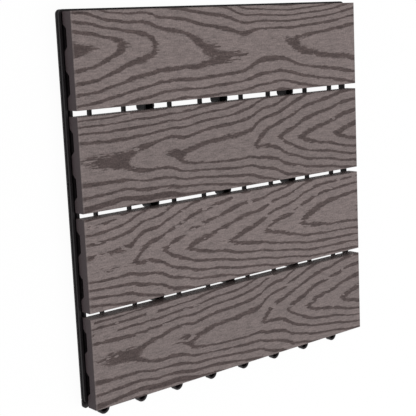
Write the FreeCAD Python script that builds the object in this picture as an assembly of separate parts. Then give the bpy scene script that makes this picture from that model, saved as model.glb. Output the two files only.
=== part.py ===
import FreeCAD, Part
import math
import os

# Interlocking deck tile: four composite slats screwed onto a moulded plastic grid.
# Millimetres. +X runs along the slats, +Y across them and +Z up, with the ground at Z = 0.
# The origin is on the ground, at the middle of the square that one tile takes in a laid deck.

# The laid deck
tile_pitch = 304.8
slat_count = 4
bay_count = 4
slat_gap = 4.6
tile_gap = 3.4
slat_end_gap = 4.8
base_gap = 4.8

# Slats
slat_thickness = 11.2
slat_edge_round = 0.8
slat_end_bevel = 0.6
slat_groove_offset = 17.0
slat_groove_mouth = 20.0
slat_groove_floor = 13.4
slat_groove_depth = 3.9

# Base: heights above the ground
base_height = 10.8
wall_underside = 4.9
rib_underside = 5.8
flange_thickness = 1.5
rim_drop = 0.8
cross_rib_drop = 1.2

# Base: walls and ribs
wall = 2.0
trough_width = 1.9
flange_width = 7.8
rib = 2.0
cross_rib_offset = 15.7
gap_rail_offset = 7.7
corner_radius = 3.6
rim_end_reach = 1.6
rim_end_height = 2.0
shadow_line_depth = 0.6
shadow_line_height = 1.1
shadow_line_drop = 2.0

# Feet under the slat gaps, cored from above
foot_radius = 5.1
foot_wall = 1.5
foot_pad = 1.8
foot_chamfer = 0.6

# Screw bosses, which are feet as well
boss_radius = 5.4
boss_wall = 1.4
boss_web = 2.4

# Screws
screw_radius = 1.75
screw_head_radius = 3.5
screw_head_height = 2.2
screw_head_round = 0.9
screw_bite = 8.0
screw_tip = 2.5
screw_recess_length = 3.8
screw_recess_width = 0.9
screw_recess_depth = 1.3
screw_pilot_clearance = 0.05
screw_pilot_spare = 0.5
screw_passage_clearance = 0.25

# Sockets on two sides, and the pegs that drop into a neighbour's sockets
coupling_count = 8
coupling_near_margin = 20.9
coupling_far_margin = 18.4
socket_radius = 5.2
socket_wall = 2.0
socket_floor = 1.2
socket_lift = 0.4
socket_lead_in = 0.5
socket_root_depth = 4.0
socket_root_rise = 3.1
coupling_clearance = 0.3
peg_inset = 4.9
peg_clearance = 0.8
peg_lead_in = 0.6

# What follows from the sizes above
UP = FreeCAD.Vector(0, 0, 1)
half_pitch = tile_pitch / 2
slat_pitch = (tile_pitch - tile_gap + slat_gap) / slat_count
slat_width = slat_pitch - slat_gap
slat_length = tile_pitch - slat_end_gap
bay = tile_pitch / bay_count
base_size = tile_pitch - base_gap
socket_edge = base_size - half_pitch
rail_inset = wall + trough_width
rim_end_radius = (rail_inset + wall) / 2
coupling_pitch = (base_size - coupling_near_margin - coupling_far_margin) / (coupling_count - 1)
socket_reach = base_gap + peg_inset
socket_top = wall_underside - coupling_clearance
socket_eye_radius = socket_radius - socket_wall
peg_radius = socket_eye_radius - peg_clearance
peg_tip = socket_lift + socket_floor + coupling_clearance
rim_top = base_height - rim_drop
web_underside = base_height - boss_web


def centred(count, pitch):
    """Places of count things at one pitch, in the middle of the tile."""
    return [(i - (count - 1) / 2) * pitch for i in range(count)]


slat_lines = centred(slat_count, slat_pitch)
gap_lines = centred(slat_count - 1, slat_pitch)
bay_lines = centred(bay_count, bay)
bay_joints = centred(bay_count - 1, bay)
coupling_places = [half_pitch - coupling_near_margin - i * coupling_pitch for i in range(coupling_count)]


def block(x0, x1, y0, y1, z0, z1):
    """A box from its two corners."""
    return Part.makeBox(x1 - x0, y1 - y0, z1 - z0, FreeCAD.Vector(x0, y0, z0))


def post(x, y, radius, z0, z1):
    """An upright cylinder."""
    return Part.makeCylinder(radius, z1 - z0, FreeCAD.Vector(x, y, z0), UP)


def taper(x, y, radius_low, radius_high, z0, z1):
    """An upright cone."""
    return Part.makeCone(radius_low, radius_high, z1 - z0, FreeCAD.Vector(x, y, z0), UP)


def across_diagonal(shape):
    """The same shape on the tile's other side of its kind: +X becomes -Y, and -X becomes +Y."""
    return shape.mirror(FreeCAD.Vector(0, 0, 0), FreeCAD.Vector(1, 1, 0))


def outline(inset, z0, z1):
    """The base's rounded square, drawn in by an inset and raised from z0 to z1."""
    low_x = -half_pitch + inset
    high_x = socket_edge - inset
    low_y = inset - socket_edge
    high_y = half_pitch - inset
    radius = corner_radius - inset
    solid = block(low_x, high_x, low_y, high_y, z0, z1)
    corners = [edge for edge in solid.Edges if abs(edge.Length - (z1 - z0)) < 1e-6 and upright(edge)]
    return solid.makeFillet(radius, corners)


def upright(edge):
    """Whether a straight edge runs along Z."""
    return abs(edge.tangentAt(edge.FirstParameter).z) > 0.999


def border():
    """The walls round the base, with a double rim and a flange below it on the two peg sides."""
    frame = outline(0, wall_underside, base_height)
    rail_face = -half_pitch + rail_inset + wall
    flange_face = -half_pitch + flange_width
    far_face = socket_edge - wall
    flange_top = wall_underside + flange_thickness
    above = block(rail_face, far_face, -far_face, -rail_face, flange_top, base_height)
    below = block(flange_face, far_face, -far_face, -flange_face, wall_underside, flange_top)
    trough = block(-half_pitch + wall, -half_pitch + rail_inset, -far_face, half_pitch - wall,
                   flange_top, base_height)
    rim_clearance = block(-half_pitch, -half_pitch + wall, -socket_edge, half_pitch, rim_top, base_height)
    shadow_top = rim_top - shadow_line_drop
    shadow_low = shadow_top - shadow_line_height
    core = outline(shadow_line_depth, shadow_low, shadow_top)
    shadow_line = outline(0, shadow_low, shadow_top).cut(core)
    cuts = [above, below, shadow_line]
    for one_side in (trough, rim_clearance):
        cuts += [one_side, across_diagonal(one_side)]
    return frame.cut(cuts)


def rim_end():
    """The round lug that carries the -X rim on past the base's corner, towards the next tile."""
    x = -half_pitch + rim_end_radius
    y = -socket_edge - rim_end_reach
    top = wall_underside + rim_end_height
    neck = block(x - rim_end_radius, x + rim_end_radius, y, wall - socket_edge, wall_underside, top)
    return neck.fuse(post(x, y, rim_end_radius, wall_underside, top))


def rails():
    """Ribs along the slats: under each slat's middle and beside each slat gap."""
    places = list(slat_lines)
    for y in gap_lines:
        places += [y - gap_rail_offset, y + gap_rail_offset]
    low_x = -half_pitch + rail_inset
    return [block(low_x, socket_edge - wall / 2, y - rib / 2, y + rib / 2, rib_underside, base_height)
            for y in places]


def cross_ribs():
    """Ribs across the slats, a little lower than the rails: a pair to each bay, and one through the feet."""
    places = list(bay_joints)
    for x in bay_lines:
        places += [x - cross_rib_offset, x + cross_rib_offset]
    top = base_height - cross_rib_drop
    high_y = half_pitch - rail_inset
    return [block(x - rib / 2, x + rib / 2, wall / 2 - socket_edge, high_y, rib_underside, top)
            for x in places]


def foot(x, y):
    """A round foot below a slat gap."""
    pad = taper(x, y, foot_radius - foot_chamfer, foot_radius, 0, foot_chamfer)
    return pad.fuse(post(x, y, foot_radius, foot_chamfer, base_height))


def foot_core(x, y):
    """The hollow of a foot, open at the top."""
    return post(x, y, foot_radius - foot_wall, foot_pad, base_height)


def boss_core(x, y):
    """A boss's bore: room for the screw's head, and a passage through the web above it."""
    head_room = post(x, y, boss_radius - boss_wall, 0, web_underside)
    passage = post(x, y, screw_radius + screw_passage_clearance, web_underside, base_height)
    return head_room.fuse(passage)


def socket(y):
    """A cup that stands out of the +X side, with its root under the wall."""
    face = socket_edge
    end = face + socket_reach
    low = y - socket_radius
    high = y + socket_radius
    root = block(face - socket_root_depth, face, low, high, socket_lift, wall_underside + socket_root_rise)
    arms = block(face, end, low, high, socket_lift, socket_top)
    cup = root.fuse([arms, post(end, y, socket_radius, socket_lift, socket_top)])
    floor_top = socket_lift + socket_floor
    eye_start = face + socket_wall
    eye = block(eye_start, end, y - socket_eye_radius, y + socket_eye_radius, floor_top, socket_top)
    round_end = post(end, y, socket_eye_radius, floor_top, socket_top)
    lead_in = taper(end, y, socket_eye_radius, socket_eye_radius + socket_lead_in,
                    socket_top - socket_lead_in, socket_top)
    return cup.cut([eye, round_end, lead_in])


def peg(y):
    """A round peg that hangs from the flange on the -X side."""
    x = -half_pitch + peg_inset
    tip = taper(x, y, peg_radius - peg_lead_in, peg_radius, peg_tip, peg_tip + peg_lead_in)
    return tip.fuse(post(x, y, peg_radius, peg_tip + peg_lead_in, wall_underside + flange_thickness))


def base_grid():
    """The moulded base in one piece."""
    foot_places = [(x, y) for x in bay_joints for y in gap_lines]
    boss_places = [(x, y) for x in bay_lines for y in slat_lines]
    pieces = rails() + cross_ribs()
    pieces += [foot(x, y) for x, y in foot_places]
    pieces += [post(x, y, boss_radius, 0, base_height) for x, y in boss_places]
    sides = [socket(y) for y in coupling_places] + [peg(y) for y in coupling_places] + [rim_end()]
    for one_side in sides:
        pieces += [one_side, across_diagonal(one_side)]
    cores = [foot_core(x, y) for x, y in foot_places]
    cores += [boss_core(x, y) for x, y in boss_places]
    return border().fuse(pieces).cut(cores).removeSplitter()


def slat_section(y):
    """A slat's outline at its -X end: rounded upper edges and two grooves below."""
    x = -slat_length / 2
    low = base_height
    high = base_height + slat_thickness
    roof = low + slat_groove_depth
    half = slat_width / 2

    def at(across, z):
        return FreeCAD.Vector(x, y + across, z)

    points = [at(-half, low)]
    for side in (-1, 1):
        centre = side * slat_groove_offset
        points.append(at(centre - slat_groove_mouth / 2, low))
        points.append(at(centre - slat_groove_floor / 2, roof))
        points.append(at(centre + slat_groove_floor / 2, roof))
        points.append(at(centre + slat_groove_mouth / 2, low))
    points.append(at(half, low))
    points.append(at(half, high - slat_edge_round))
    lines = [Part.LineSegment(a, b).toShape() for a, b in zip(points, points[1:])]
    bulge = slat_edge_round * (1 - math.sqrt(0.5))
    right_round = Part.Arc(at(half, high - slat_edge_round), at(half - bulge, high - bulge),
                           at(half - slat_edge_round, high)).toShape()
    top = Part.LineSegment(at(half - slat_edge_round, high), at(slat_edge_round - half, high)).toShape()
    left_round = Part.Arc(at(slat_edge_round - half, high), at(bulge - half, high - bulge),
                          at(-half, high - slat_edge_round)).toShape()
    left_side = Part.LineSegment(at(-half, high - slat_edge_round), at(-half, low)).toShape()
    return Part.Face(Part.Wire(lines + [right_round, top, left_round, left_side]))


def end_bevel(y, x, outward):
    """The wedge taken off the upper edge of a slat's end."""
    high = base_height + slat_thickness
    inner = x - outward * slat_end_bevel
    corners = [FreeCAD.Vector(inner, y - slat_pitch / 2, high), FreeCAD.Vector(x, y - slat_pitch / 2, high),
               FreeCAD.Vector(x, y - slat_pitch / 2, high - slat_end_bevel)]
    wedge = Part.Face(Part.makePolygon(corners + corners[:1]))
    return wedge.extrude(FreeCAD.Vector(0, slat_pitch, 0))


def slat(y):
    """One composite slat with pilot holes for its screws."""
    board = slat_section(y).extrude(FreeCAD.Vector(slat_length, 0, 0))
    hole_top = base_height + screw_bite + screw_pilot_spare
    pilots = [post(x, y, screw_radius + screw_pilot_clearance, base_height, hole_top) for x in bay_lines]
    bevels = [end_bevel(y, -slat_length / 2, -1), end_bevel(y, slat_length / 2, 1)]
    return board.cut(pilots + bevels)


def screw(x, y):
    """A pan head screw, driven upwards, with a cross recess in its head."""
    head_low = web_underside - screw_head_height
    head = post(x, y, screw_head_radius, head_low, web_underside)
    rim = [edge for edge in head.Edges if abs(edge.BoundBox.ZMax - head_low) < 1e-6 and edge.Closed]
    head = head.makeFillet(screw_head_round, rim)
    for turned in (False, True):
        along = (screw_recess_width if turned else screw_recess_length) / 2
        across = (screw_recess_length if turned else screw_recess_width) / 2
        head = head.cut(block(x - along, x + along, y - across, y + across,
                              head_low, head_low + screw_recess_depth))
    point = base_height + screw_bite
    shank = post(x, y, screw_radius, web_underside, point - screw_tip)
    tip = Part.makeCone(screw_radius, 0, screw_tip, FreeCAD.Vector(x, y, point - screw_tip), UP)
    return head.fuse([shank, tip]).removeSplitter()


def write(name, shape):
    """One STEP file for each node, named after it."""
    shape.exportStep("parts/" + name + ".step")
    print(name, "solids", len(shape.Solids), "valid", shape.isValid(), "volume", round(shape.Volume, 1))


os.makedirs("parts", exist_ok=True)
write("base_grid", base_grid())
for number, y in enumerate(reversed(slat_lines), 1):
    write("slat_%d" % number, slat(y))
write("slat_screws", Part.makeCompound([screw(x, y) for x in bay_lines for y in slat_lines]))
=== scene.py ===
import bpy
from mathutils import Matrix, Vector


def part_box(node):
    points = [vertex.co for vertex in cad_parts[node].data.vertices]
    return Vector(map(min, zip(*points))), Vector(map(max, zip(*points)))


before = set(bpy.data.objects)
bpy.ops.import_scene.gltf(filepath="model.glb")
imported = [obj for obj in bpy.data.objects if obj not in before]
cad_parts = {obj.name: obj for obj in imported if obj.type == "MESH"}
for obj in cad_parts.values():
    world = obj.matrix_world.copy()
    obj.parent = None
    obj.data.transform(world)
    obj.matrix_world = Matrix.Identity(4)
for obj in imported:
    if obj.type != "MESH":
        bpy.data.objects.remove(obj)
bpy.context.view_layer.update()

# Looks of an interlocking deck tile: four wood-plastic composite slats on a black moulded base.
# Lengths are in metres unless a name says mm. +X runs along the slats, +Y across them, +Z up.

MM = 0.001
MM_PER_METRE = 1000.0

# Where the slats lie, from the frame. Their ends are as far to the left of the middle as to the right.
SLATS = ("slat_1", "slat_2", "slat_3", "slat_4")
SLAT_BOXES = {name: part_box(name) for name in SLATS}
SLAT_TOP_MM = SLAT_BOXES["slat_1"][1][2] * MM_PER_METRE
SLAT_LEFT_MM = SLAT_BOXES["slat_1"][0][0] * MM_PER_METRE
SLAT_RIGHT_MM = SLAT_BOXES["slat_1"][1][0] * MM_PER_METRE

# Camera, measured from the tile's edges in the photograph
CAMERA_PLACE = Vector((-0.56285, 0.13488, 0.66560))
CAMERA_FORWARD = Vector((0.62799, -0.17108, -0.75919))
CAMERA_UP = Vector((0.14365, 0.98426, -0.10298))
CAMERA_LENS_MM = 90.1
CAMERA_SENSOR_MM = 36.0
CAMERA_NEAREST = 0.01

# Finishes, as linear colours
WOOD_LIGHT = (0.163, 0.129, 0.124, 1.0)
WOOD_DARK = (0.051, 0.034, 0.032, 1.0)
# Sawn ends: partly the core's own darker colour, partly painted shade of the end faces that turn away from
# the light
WOOD_SAWN_AND_SHADE = (0.049, 0.035, 0.038, 1.0)
# Pale flecks of the composite; the same colour is the painted highlight along the top edge at each sawn end
WOOD_FLECK_AND_HIGHLIGHT = (0.330, 0.290, 0.285, 1.0)
PLASTIC_BLACK = (0.010, 0.008, 0.009, 1.0)
PLASTIC_SCUFF = (0.024, 0.021, 0.022, 1.0)
STEEL = (0.560, 0.565, 0.580, 1.0)
STEEL_DULL = (0.300, 0.300, 0.310, 1.0)
PAPER_WHITE = (0.900, 0.900, 0.900, 1.0)
PURE_WHITE = (1.0, 1.0, 1.0, 1.0)

# The embossing roll prints one long figure, and each slat takes its own stretch of it.
# Rings are counted along the roll. A dark ring line lies where the count is whole, within this half width.
RING_HALF_WIDTH = 0.15
ROLL_LENGTH_MM = 780.0
# How far, in rings, the lines wander, run ragged, fray into fibres, swell and fade at their edges
WANDER_RINGS = 0.20
RAGGED_RINGS = 0.26
FIBRE_RINGS_AT_TIPS = 0.62
FIBRE_RINGS_AT_ARMS = 0.25
LINE_SWELL_RINGS = 0.30
LINE_EDGE_RINGS = 0.08
SLAT_PLACE_ON_ROLL_MM = {"slat_1": 460.0, "slat_2": 0.0, "slat_3": 130.0, "slat_4": -2.0}
# Lines are worn through where a soft noise is above this, so a low number wears more of them
SLAT_WORN_FROM = {"slat_1": 0.45, "slat_2": 0.22, "slat_3": 0.11, "slat_4": 0.13}
# Boards of one batch differ a little in tone
SLAT_TONE = {"slat_1": 1.0, "slat_2": 0.93, "slat_3": 0.98, "slat_4": 0.91}

# How high the middle of the figure lies across the slat: place on the roll and height, in mm
MIDDLE_LINE = ((0, 4.0), (120, 1.5), (230, 1.3), (350, 4.0), (440, 6.5), (600, 6.0), (760, 4.5))
# How pointed the tips are: place on the roll in mm, and the rings by which the arms lie back
# once they are TIP_REACH_MM from the middle
POINTED_TIPS = ((0, 0.0), (150, 0.0), (170, 0.15), (355, 0.15), (400, 0.0), (760, 0.0))
TIP_REACH_MM = 5.0
# A line broadens to a dark band along the slat's lower edge: place on the roll in mm, and the rings
# that half the line gains, then where across the slat that begins and where it is full
LOWER_BAND = ((0, 0.13), (30, 0.11), (60, 0.20), (80, 0.23), (105, 0.0), (130, 0.0), (760, 0.0))
BAND_ACROSS_MM = (-25.5, -28.5)
# A tip's bend from the middle line fades across the slat, and is half gone this many mm away
BEND_REACH_MM = 14.0
# Arches of the figure: first and last mm of the tip, ring, +1 if it opens to the right or -1 to the left,
# bend of the tip at its first and last mm, how fast rings follow above and below,
# bluntness of the tip above and below in mm
ARCHES = (
    (5, 43, 5, 1, -1.0, -4.5, 0.29, 0.15, 27, 19),
    (82, 97, 4, 1, -1.0, -6.5, 0.21, 0.16, 14, 11),
    (170, 177, 3, 1, -5.5, -4.0, 0.15, 0.12, 15, 6),
    (201, 206, 2, 1, 0.5, -0.5, 0.13, 0.11, 9, 4),
    (226, 233, 1, 1, -2.5, -3.0, 0.11, 0.13, 7, 6),
    (269, 279, 0, 1, -3.5, -5.0, 0.11, 0.15, 7, 9),
    (313, 319, -1, 1, -3.0, -2.0, 0.13, 0.17, 6, 14),
    (353, 360, -2, 1, -4.0, -4.0, 0.14, 0.17, 10, 15),
    (430, 438, -3, 1, -4.0, -4.0, 0.24, 0.17, 25, 14),
    (458, 477, 0, -1, 2.5, 2.5, 0.15, 0.14, 9, 13),
    (500, 507, 1, -1, 4.5, 4.5, 0.20, 0.15, 15, 19),
    (532, 538, 2, -1, 2.5, 0.0, 0.17, 0.16, 20, 25),
    (586, 620, 3, -1, -9.5, -10.0, 0.20, 0.19, 26, 38),
    (677, 692, 3, 1, 0.5, -1.0, 0.30, 0.16, 20, 24),
)
# Plain stretches between two arches, in the same order but with one place, the count there and one bend
PLAIN_STRETCHES = (
    (52, 4.62, -5.0, 0.23, 0.15, 20, 12),
    (130, 3.28, -7.5, 0.21, 0.15, 16, 6),
    (565, 2.45, -4.0, 0.18, 0.18, 22, 30),
    (650, 3.35, 3.0, 0.31, 0.19, 24, 37),
    (760, 2.28, 2.5, 0.19, 0.14, 18, 31),
)
# The last four columns of both tables, and where they begin in each
RATE_ABOVE, RATE_BELOW, BLUNT_ABOVE, BLUNT_BELOW = range(4)
ARCH_SHAPE_BEGINS = 6
STRETCH_SHAPE_BEGINS = 3
# Lowest and highest value that each curve along the roll can reach
RING_RANGE = (-4.0, 6.0)
MIDDLE_RANGE_MM = (0.0, 10.0)
BEND_RANGE_MM = (-15.0, 15.0)
RATE_RANGE = (0.0, 0.4)
BLUNT_RANGE_MM = (0.0, 40.0)
LAID_BACK_RANGE = (0.0, 0.4)
BROADER_RANGE = (0.0, 0.4)


# Small helpers that wire nodes together

# The two colours that go into a colour Mix node and the one that comes out, by number
MIX_FIRST = 6
MIX_SECOND = 7
MIX_RESULT = 2


def put(tree, kind, **settings):
    node = tree.nodes.new(kind)
    for name, value in settings.items():
        setattr(node, name, value)
    return node


def feed(tree, socket, source):
    if isinstance(source, bpy.types.NodeSocket):
        tree.links.new(source, socket)
    else:
        socket.default_value = source


def maths(tree, operation, *sources):
    node = put(tree, "ShaderNodeMath", operation=operation)
    for socket, source in zip(node.inputs, sources):
        feed(tree, socket, source)
    return node.outputs[0]


def blend(tree, share, first, second, kind="MIX"):
    node = put(tree, "ShaderNodeMix", data_type="RGBA", blend_type=kind)
    feed(tree, node.inputs["Factor"], share)
    feed(tree, node.inputs[MIX_FIRST], first)
    feed(tree, node.inputs[MIX_SECOND], second)
    return node.outputs[MIX_RESULT]


def ramp(tree, value, start, end, low=0.0, high=1.0):
    node = put(tree, "ShaderNodeMapRange", clamp=True)
    names = ("Value", "From Min", "From Max", "To Min", "To Max")
    for name, source in zip(names, (value, start, end, low, high)):
        feed(tree, node.inputs[name], source)
    return node.outputs["Result"]


def vector(tree, x, y, z):
    node = put(tree, "ShaderNodeCombineXYZ")
    for socket, source in zip(node.inputs, (x, y, z)):
        feed(tree, socket, source)
    return node.outputs[0]


def noise(tree, place, per_mm, detail=2.0, roughness=0.5):
    """Noise from -0.5 to 0.5, with about as many features in a mm along each axis as per_mm says."""
    scaled = put(tree, "ShaderNodeVectorMath", operation="MULTIPLY")
    feed(tree, scaled.inputs[0], place)
    scaled.inputs[1].default_value = per_mm
    node = put(tree, "ShaderNodeTexNoise")
    feed(tree, node.inputs["Vector"], scaled.outputs[0])
    node.inputs["Scale"].default_value = 1.0
    node.inputs["Detail"].default_value = detail
    node.inputs["Roughness"].default_value = roughness
    return maths(tree, "SUBTRACT", node.outputs[0], 0.5)


def curve(tree, along, points, low, high):
    """A smooth curve through (place, value) points along the roll, with values between low and high."""
    node = put(tree, "ShaderNodeFloatCurve")
    drawn = node.mapping.curves[0].points
    inside = [(place / ROLL_LENGTH_MM, (value - low) / (high - low)) for place, value in points]
    drawn[0].location = inside[0]
    drawn[1].location = inside[-1]
    for place in inside[1:-1]:
        drawn.new(*place)
    for point in drawn:
        point.handle_type = "AUTO_CLAMPED"
    node.mapping.update()
    feed(tree, node.inputs["Value"], along)
    return ramp(tree, node.outputs[0], 0.0, 1.0, low, high)


def new_group(name, inputs, outputs):
    group = bpy.data.node_groups.new(name, "ShaderNodeTree")
    for label, kind in inputs:
        group.interface.new_socket(label, in_out="INPUT", socket_type=kind)
    for label, kind in outputs:
        group.interface.new_socket(label, in_out="OUTPUT", socket_type=kind)
    return group, group.nodes.new("NodeGroupInput").outputs, group.nodes.new("NodeGroupOutput").inputs


def place_group(tree, group, **values):
    node = tree.nodes.new("ShaderNodeGroup")
    node.node_tree = group
    for label, source in values.items():
        feed(tree, node.inputs[label.replace("_", " ")], source)
    return node.outputs


def new_material(name):
    material = bpy.data.materials.new(name)
    material.use_nodes = True
    tree = material.node_tree
    return material, tree, tree.nodes["Principled BSDF"]


def object_place_mm(tree):
    """Where a point lies on the tile, in mm."""
    coordinates = put(tree, "ShaderNodeTexCoord")
    scaled = put(tree, "ShaderNodeVectorMath", operation="SCALE")
    tree.links.new(coordinates.outputs["Object"], scaled.inputs[0])
    scaled.inputs["Scale"].default_value = MM_PER_METRE
    return scaled.outputs[0]


def add_relief(tree, shader, height, deepest_mm):
    """Bump in which a height of 1 stands deepest_mm above a height of 0."""
    bump = put(tree, "ShaderNodeBump")
    bump.inputs["Strength"].default_value = 1.0
    bump.inputs["Distance"].default_value = deepest_mm * MM
    feed(tree, bump.inputs["Height"], height)
    tree.links.new(bump.outputs["Normal"], shader.inputs["Normal"])


# Wood figure

# Noises: features in a mm along and across the roll and from slat to slat, then detail and roughness
WANDER_NOISE = ((0.03, 0.05, 1.0), 2.0)
RAGGED_NOISE = ((0.22, 0.80, 1.0), 3.0, 0.6)
FIBRE_NOISE = ((0.09, 0.65, 1.0), 3.0, 0.6)
SWELL_NOISE = ((0.06, 0.16, 1.0), 2.0)
WORN_NOISE = ((0.07, 0.22, 1.0), 1.0)
# How far apart the slats lie in those noises, for each mm between their middle lines
SLAT_STEP = 0.1
# Noises of the composite itself: features in a mm along x, y and z, then detail and roughness
STREAK_NOISE = ((0.14, 0.8, 0.8), 3.0, 0.6)
SPECKLE_NOISE = ((0.75, 0.9, 0.9), 3.0, 0.7)
FLECK_NOISE = ((0.5, 1.1, 1.1), 2.0, 0.7)
# How much of the streaks is in the grain, and the stretches of noise that are spread from 0 to 1
STREAK_SHARE = 0.8
GRAIN_SPREAD = (-0.30, 0.30)
FLECK_SPREAD = (0.18, 0.26)
# Fibres pass from their length at the tips to that at the arms over this distance from the middle
FIBRES_SHORTEN_MM = (2.0, 12.0)
# Wear fades in over this much of its noise, and from one place across the slat to the other
WORN_FADE = 0.06
WORN_ACROSS_MM = (-10.0, 0.0)


def ring_points():
    points = []
    for first, last, ring, opens, *_ in ARCHES:
        points.append((first, ring + opens * RING_HALF_WIDTH))
        points.append((last, ring - opens * RING_HALF_WIDTH))
    points.extend((place, count) for place, count, *_ in PLAIN_STRETCHES)
    return sorted(points)


def bend_points():
    points = []
    for first, last, _, _, first_bend, last_bend, *_ in ARCHES:
        points.append((first, first_bend))
        points.append((last, last_bend))
    points.extend((place, bend) for place, _, bend, *_ in PLAIN_STRETCHES)
    return sorted(points)


def shape_points(column):
    """Points of one shape column, from the middle of each tip and from the plain stretches."""
    points = [((arch[0] + arch[1]) / 2, arch[ARCH_SHAPE_BEGINS + column]) for arch in ARCHES]
    points.extend((stretch[0], stretch[STRETCH_SHAPE_BEGINS + column]) for stretch in PLAIN_STRETCHES)
    return sorted(points)


def make_roll_figure():
    """The ring count at a place on the roll, how far that is from the tips, and how lines broaden there."""
    group, given, result = new_group(
        "roll figure",
        (("Along", "NodeSocketFloat"), ("Across", "NodeSocketFloat")),
        (("Rings", "NodeSocketFloat"), ("From Tips", "NodeSocketFloat"), ("Broader", "NodeSocketFloat")),
    )
    along = maths(group, "DIVIDE", given["Along"], ROLL_LENGTH_MM)
    count = curve(group, along, ring_points(), *RING_RANGE)
    middle = curve(group, along, MIDDLE_LINE, *MIDDLE_RANGE_MM)
    bend = curve(group, along, bend_points(), *BEND_RANGE_MM)
    rate_above = curve(group, along, shape_points(RATE_ABOVE), *RATE_RANGE)
    rate_below = curve(group, along, shape_points(RATE_BELOW), *RATE_RANGE)
    blunt_above = curve(group, along, shape_points(BLUNT_ABOVE), *BLUNT_RANGE_MM)
    blunt_below = curve(group, along, shape_points(BLUNT_BELOW), *BLUNT_RANGE_MM)
    away = maths(group, "POWER", maths(group, "DIVIDE", given["Across"], BEND_REACH_MM), 2.0)
    local_bend = maths(group, "DIVIDE", bend, maths(group, "ADD", away, 1.0))
    offset = maths(group, "SUBTRACT", maths(group, "SUBTRACT", given["Across"], middle), local_bend)
    is_above = maths(group, "GREATER_THAN", offset, 0.0)
    rate = ramp(group, is_above, 0.0, 1.0, rate_below, rate_above)
    bluntness = ramp(group, is_above, 0.0, 1.0, blunt_below, blunt_above)
    squares = maths(group, "ADD", maths(group, "POWER", offset, 2.0), maths(group, "POWER", bluntness, 2.0))
    reach = maths(group, "SUBTRACT", maths(group, "SQRT", squares), bluntness)
    from_tips = maths(group, "ABSOLUTE", offset)
    arms_back = curve(group, along, POINTED_TIPS, *LAID_BACK_RANGE)
    laid_back = ramp(group, from_tips, 0.0, TIP_REACH_MM, 0.0, arms_back)
    arms = maths(group, "ADD", maths(group, "MULTIPLY", rate, reach), laid_back)
    rings = maths(group, "ADD", count, arms)
    group.links.new(rings, result["Rings"])
    group.links.new(from_tips, result["From Tips"])
    band = curve(group, along, LOWER_BAND, *BROADER_RANGE)
    group.links.new(ramp(group, given["Across"], *BAND_ACROSS_MM, 0.0, band), result["Broader"])
    return group


def make_wood_figure(roll_figure):
    """Dark embossed ring lines, frayed into fibres on their outer side, and the grain of the composite."""
    group, given, result = new_group(
        "wood figure",
        (
            ("Place", "NodeSocketVector"),
            ("Roll Place", "NodeSocketFloat"),
            ("Slat Line", "NodeSocketFloat"),
            ("Worn From", "NodeSocketFloat"),
        ),
        (("Line", "NodeSocketFloat"), ("Grain", "NodeSocketFloat"), ("Fleck", "NodeSocketFloat")),
    )
    parts = put(group, "ShaderNodeSeparateXYZ")
    group.links.new(given["Place"], parts.inputs[0])
    from_left = maths(group, "SUBTRACT", parts.outputs["X"], SLAT_LEFT_MM)
    along = maths(group, "ADD", from_left, given["Roll Place"])
    across = maths(group, "SUBTRACT", parts.outputs["Y"], given["Slat Line"])
    figure = place_group(group, roll_figure, Along=along, Across=across)
    own_layer = maths(group, "MULTIPLY", given["Slat Line"], SLAT_STEP)
    on_roll = vector(group, along, across, own_layer)

    wander = maths(group, "MULTIPLY", noise(group, on_roll, *WANDER_NOISE), WANDER_RINGS)
    ragged = maths(group, "MULTIPLY", noise(group, on_roll, *RAGGED_NOISE), RAGGED_RINGS)
    shifted = maths(group, "ADD", figure["Rings"], maths(group, "ADD", wander, ragged))
    from_line = maths(group, "SUBTRACT", maths(group, "FRACT", maths(group, "ADD", shifted, 0.5)), 0.5)
    fibre_lengths = (FIBRE_RINGS_AT_TIPS, FIBRE_RINGS_AT_ARMS)
    fibre_rings = ramp(group, figure["From Tips"], *FIBRES_SHORTEN_MM, *fibre_lengths)
    fibres = maths(group, "MULTIPLY", noise(group, on_roll, *FIBRE_NOISE), fibre_rings)

    swell = maths(group, "MULTIPLY", noise(group, on_roll, *SWELL_NOISE), LINE_SWELL_RINGS)
    patches = noise(group, on_roll, *WORN_NOISE)
    worn_through = maths(group, "ADD", given["Worn From"], WORN_FADE)
    worn = ramp(group, patches, given["Worn From"], worn_through)
    worn_above = maths(group, "MULTIPLY", worn, ramp(group, across, *WORN_ACROSS_MM))
    swollen = maths(group, "ADD", maths(group, "ADD", RING_HALF_WIDTH, swell), figure["Broader"])
    half_width = maths(group, "SUBTRACT", swollen, worn_above)
    inner = maths(group, "ADD", half_width, from_line)
    outer = maths(group, "SUBTRACT", half_width, maths(group, "ADD", from_line, fibres))
    inside = maths(group, "DIVIDE", maths(group, "MINIMUM", inner, outer), LINE_EDGE_RINGS)
    line = put(group, "ShaderNodeClamp")
    group.links.new(maths(group, "ADD", inside, 0.5), line.inputs["Value"])
    group.links.new(line.outputs[0], result["Line"])

    streak = noise(group, given["Place"], *STREAK_NOISE)
    speckle = noise(group, given["Place"], *SPECKLE_NOISE)
    grain = maths(group, "ADD", maths(group, "MULTIPLY", streak, STREAK_SHARE), speckle)
    group.links.new(ramp(group, grain, *GRAIN_SPREAD), result["Grain"])
    specks = noise(group, given["Place"], *FLECK_NOISE)
    group.links.new(ramp(group, specks, *FLECK_SPREAD), result["Fleck"])
    return group


# Slat composite

# How much darker and lighter than its tone a slat gets with the grain
GRAIN_CONTRAST = 0.46
# How far below the walking face the embossing begins and is full, and how far from a sawn end
# the sawn colour (partly painted shade) and the painted highlight along the end's top edge begin and are
# full, in mm
EMBOSSED_MM = (0.9, 0.3)
SAWN_MM = (0.12, 0.02)
END_EDGE_HIGHLIGHT_MM = (1.4, 0.4)
# How strongly that painted highlight and the pale flecks show
END_EDGE_HIGHLIGHT_SHARE = 0.22
FLECK_SHARE = 0.35
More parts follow.
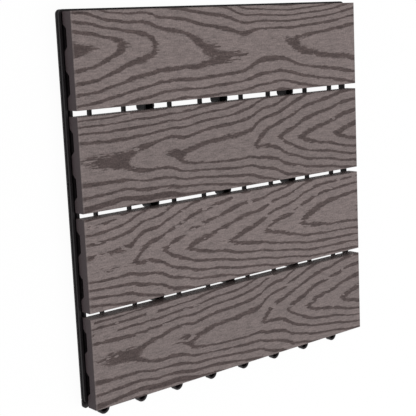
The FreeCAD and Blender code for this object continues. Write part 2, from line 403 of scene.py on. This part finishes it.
# A line is as dark as the first strength where the grain is low, and as the second where it is high
LINE_GRAIN = (0.2, 0.9)
LINE_STRENGTH = (1.0, 0.80)
# Darkest and lightest shade of a sawn end
SAWN_SHADES = (0.8, 1.2)
# Roughness beside a line and in it
WOOD_ROUGHNESS = (0.62, 0.74)
WOOD_SPECULAR = 0.3
# Relief: how deep it is, and the shares of the lines and of the grain in it
WOOD_RELIEF_MM = 0.25
LINE_DEPTH = 0.8
GRAIN_DEPTH = 0.25


def make_slat_material(name, wood_figure):
    """Wood-plastic composite: embossed on the walking face, grainy all over, darker on the sawn ends partly
    by painted shade, with a painted highlight along their top edge.
    """
    low, high = SLAT_BOXES[name]
    material, tree, shader = new_material(name + " composite")
    place = object_place_mm(tree)
    slat_line = (low[1] + high[1]) / 2 * MM_PER_METRE
    figure = place_group(
        tree,
        wood_figure,
        Place=place,
        Roll_Place=SLAT_PLACE_ON_ROLL_MM[name],
        Slat_Line=slat_line,
        Worn_From=SLAT_WORN_FROM[name],
    )
    parts = put(tree, "ShaderNodeSeparateXYZ")
    tree.links.new(place, parts.inputs[0])
    from_middle = maths(tree, "ABSOLUTE", parts.outputs["X"])
    below_top = maths(tree, "SUBTRACT", SLAT_TOP_MM, parts.outputs["Z"])
    from_end = maths(tree, "SUBTRACT", SLAT_RIGHT_MM, from_middle)
    is_top = ramp(tree, below_top, *EMBOSSED_MM)
    is_shaded_sawn_end = ramp(tree, from_end, *SAWN_MM)

    line_on_top = maths(tree, "MULTIPLY", figure["Line"], is_top)
    dark_share = ramp(tree, figure["Grain"], *LINE_GRAIN, *LINE_STRENGTH)
    strength = maths(tree, "MULTIPLY", line_on_top, dark_share)
    colour = blend(tree, strength, WOOD_LIGHT, WOOD_DARK)
    darkest = SLAT_TONE[name] * (1.0 - GRAIN_CONTRAST)
    lightest = SLAT_TONE[name] * (1.0 + GRAIN_CONTRAST)
    shade = ramp(tree, figure["Grain"], 0.0, 1.0, darkest, lightest)
    shaded = blend(tree, 1.0, colour, vector(tree, shade, shade, shade), "MULTIPLY")
    flecked = blend(tree, maths(tree, "MULTIPLY", figure["Fleck"], FLECK_SHARE), shaded, WOOD_FLECK_AND_HIGHLIGHT)
    # Painted highlight: a paler strip on the walking face along each sawn end, where its rounded edge would
    # catch the light
    painted_end_highlight = ramp(tree, from_end, *END_EDGE_HIGHLIGHT_MM, 0.0, END_EDGE_HIGHLIGHT_SHARE)
    end_highlighted = blend(tree, maths(tree, "MULTIPLY", painted_end_highlight, is_top), flecked, WOOD_FLECK_AND_HIGHLIGHT)
    # Sawn end colour: partly the core's own, partly painted shade of the end faces
    sawn = ramp(tree, figure["Grain"], 0.0, 1.0, *SAWN_SHADES)
    sawn_and_shaded_colour = blend(tree, 1.0, WOOD_SAWN_AND_SHADE, vector(tree, sawn, sawn, sawn), "MULTIPLY")
    finished = blend(tree, is_shaded_sawn_end, end_highlighted, sawn_and_shaded_colour)
    tree.links.new(finished, shader.inputs["Base Color"])
    tree.links.new(ramp(tree, line_on_top, 0.0, 1.0, *WOOD_ROUGHNESS), shader.inputs["Roughness"])
    shader.inputs["Specular IOR Level"].default_value = WOOD_SPECULAR
    raised = maths(tree, "SUBTRACT", 1.0, maths(tree, "MULTIPLY", line_on_top, LINE_DEPTH))
    height = maths(tree, "ADD", raised, maths(tree, "MULTIPLY", figure["Grain"], GRAIN_DEPTH))
    add_relief(tree, shader, height, WOOD_RELIEF_MM)
    return material


# Base plastic and screws

# Noises: features in a mm, or for the spark texture in one of its own steps, then detail and roughness
SCUFF_NOISE = ((0.05, 0.05, 0.12), 4.0, 0.65)
SPARK_NOISE = ((1.0, 1.0, 1.0), 2.0)
SCUFF_SPREAD = (-0.1, 0.25)
PLASTIC_SCUFF_SHARE = 0.5
# Roughness where a surface is clean and where it is scuffed
PLASTIC_ROUGHNESS = (0.45, 0.60)
STEEL_ROUGHNESS = (0.28, 0.45)
PLASTIC_SPECULAR = 0.14
PLASTIC_SPARK_PER_MM = 2.2
STEEL_SPARK_PER_MM = 5.0
PLASTIC_RELIEF_MM = 0.05
STEEL_RELIEF_MM = 0.02


def make_moulded_grain():
    """Fine spark texture and soft scuffs of a moulded part."""
    group, given, result = new_group(
        "moulded grain",
        (("Place", "NodeSocketVector"), ("Spark per mm", "NodeSocketFloat")),
        (("Scuff", "NodeSocketFloat"), ("Height", "NodeSocketFloat")),
    )
    scuff = noise(group, given["Place"], *SCUFF_NOISE)
    group.links.new(ramp(group, scuff, *SCUFF_SPREAD), result["Scuff"])
    scaled = put(group, "ShaderNodeVectorMath", operation="SCALE")
    group.links.new(given["Place"], scaled.inputs[0])
    group.links.new(given["Spark per mm"], scaled.inputs["Scale"])
    spark = noise(group, scaled.outputs[0], *SPARK_NOISE)
    group.links.new(maths(group, "ADD", spark, 0.5), result["Height"])
    return group


def make_base_plastic(moulded_grain):
    material, tree, shader = new_material("base plastic")
    place = object_place_mm(tree)
    grain = place_group(tree, moulded_grain, Place=place, Spark_per_mm=PLASTIC_SPARK_PER_MM)
    scuffed = maths(tree, "MULTIPLY", grain["Scuff"], PLASTIC_SCUFF_SHARE)
    colour = blend(tree, scuffed, PLASTIC_BLACK, PLASTIC_SCUFF)
    tree.links.new(colour, shader.inputs["Base Color"])
    roughness = ramp(tree, grain["Scuff"], 0.0, 1.0, *PLASTIC_ROUGHNESS)
    tree.links.new(roughness, shader.inputs["Roughness"])
    shader.inputs["Specular IOR Level"].default_value = PLASTIC_SPECULAR
    add_relief(tree, shader, grain["Height"], PLASTIC_RELIEF_MM)
    return material


def make_screw_steel(moulded_grain):
    material, tree, shader = new_material("screw steel")
    place = object_place_mm(tree)
    grain = place_group(tree, moulded_grain, Place=place, Spark_per_mm=STEEL_SPARK_PER_MM)
    tree.links.new(blend(tree, grain["Scuff"], STEEL, STEEL_DULL), shader.inputs["Base Color"])
    roughness = ramp(tree, grain["Scuff"], 0.0, 1.0, *STEEL_ROUGHNESS)
    tree.links.new(roughness, shader.inputs["Roughness"])
    shader.inputs["Metallic"].default_value = 1.0
    add_relief(tree, shader, grain["Height"], STEEL_RELIEF_MM)
    return material


def dress(node_name, material):
    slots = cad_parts[node_name].data.materials
    slots.clear()
    slots.append(material)


# Studio

FLOOR_SIZE = 6.0
# How much of what the camera sees of the floor is pure white, so that the rest keeps a faint shadow
FLOOR_PURE_SHARE = 0.96
PAPER_NOISE = ((0.02, 0.02, 0.02), 2.0)
PAPER_SPREAD = (-0.3, 0.3)
PAPER_WHITENED = (0.0, 0.3)
PAPER_ROUGHNESS = 0.9
SKY_LIGHT = 0.62
LAMP_WATTS = 24.0
LAMP_SIZE = 1.6
LAMP_PLACE = Vector((0.55, -0.5, 1.95))


def seen_straight(tree):
    """1 for what the camera sees, straight or in a mirror or glass, and 0 for light on the object."""
    path = put(tree, "ShaderNodeLightPath")
    seen = maths(tree, "MAXIMUM", path.outputs["Is Camera Ray"], path.outputs["Is Glossy Ray"])
    return maths(tree, "MAXIMUM", seen, path.outputs["Is Transmission Ray"])


def make_floor():
    """A pale floor that reads as white paper and keeps a faint shadow."""
    mesh = bpy.data.meshes.new("studio_floor")
    half = FLOOR_SIZE / 2
    corners = [(-half, -half, 0.0), (half, -half, 0.0), (half, half, 0.0), (-half, half, 0.0)]
    mesh.from_pydata(corners, [], [(0, 1, 2, 3)])
    floor = bpy.data.objects.new("studio_floor", mesh)
    bpy.context.scene.collection.objects.link(floor)
    material, tree, shader = new_material("studio paper")
    paper = noise(tree, object_place_mm(tree), *PAPER_NOISE)
    whitened = ramp(tree, paper, *PAPER_SPREAD, *PAPER_WHITENED)
    colour = blend(tree, whitened, PAPER_WHITE, PURE_WHITE)
    tree.links.new(colour, shader.inputs["Base Color"])
    shader.inputs["Roughness"].default_value = PAPER_ROUGHNESS
    shader.inputs["Specular IOR Level"].default_value = 0.0
    glow = put(tree, "ShaderNodeEmission")
    glow.inputs["Color"].default_value = PURE_WHITE
    mixed = put(tree, "ShaderNodeMixShader")
    tree.links.new(maths(tree, "MULTIPLY", seen_straight(tree), FLOOR_PURE_SHARE), mixed.inputs[0])
    tree.links.new(shader.outputs[0], mixed.inputs[1])
    tree.links.new(glow.outputs[0], mixed.inputs[2])
    tree.links.new(mixed.outputs[0], tree.nodes["Material Output"].inputs["Surface"])
    mesh.materials.append(material)


def make_sky():
    world = bpy.data.worlds.new("studio")
    world.use_nodes = True
    tree = world.node_tree
    background = tree.nodes["Background"]
    background.inputs["Color"].default_value = PURE_WHITE
    strength = ramp(tree, seen_straight(tree), 0.0, 1.0, SKY_LIGHT, 1.0)
    tree.links.new(strength, background.inputs["Strength"])
    bpy.context.scene.world = world


def make_lamp():
    data = bpy.data.lights.new("soft_box", "AREA")
    data.energy = LAMP_WATTS
    data.size = LAMP_SIZE
    lamp = bpy.data.objects.new("soft_box", data)
    lamp.location = LAMP_PLACE
    lamp.rotation_mode = "QUATERNION"
    lamp.rotation_quaternion = (-LAMP_PLACE).to_track_quat("-Z", "Y")
    bpy.context.scene.collection.objects.link(lamp)


def make_camera():
    data = bpy.data.cameras.new("camera")
    data.lens = CAMERA_LENS_MM
    data.sensor_width = CAMERA_SENSOR_MM
    data.clip_start = CAMERA_NEAREST
    camera = bpy.data.objects.new("camera", data)
    back = -CAMERA_FORWARD.normalized()
    right = CAMERA_UP.cross(back).normalized()
    up = back.cross(right)
    turn = Matrix((right, up, back)).transposed()
    camera.matrix_world = Matrix.Translation(CAMERA_PLACE) @ turn.to_4x4()
    bpy.context.scene.collection.objects.link(camera)
    bpy.context.scene.camera = camera


def dress_tile():
    roll_figure = make_roll_figure()
    wood_figure = make_wood_figure(roll_figure)
    for name in SLATS:
        dress(name, make_slat_material(name, wood_figure))
    moulded_grain = make_moulded_grain()
    dress("base_grid", make_base_plastic(moulded_grain))
    dress("slat_screws", make_screw_steel(moulded_grain))


dress_tile()
make_floor()
make_sky()
make_lamp()
make_camera()
bpy.context.scene.view_settings.view_transform = "Standard"
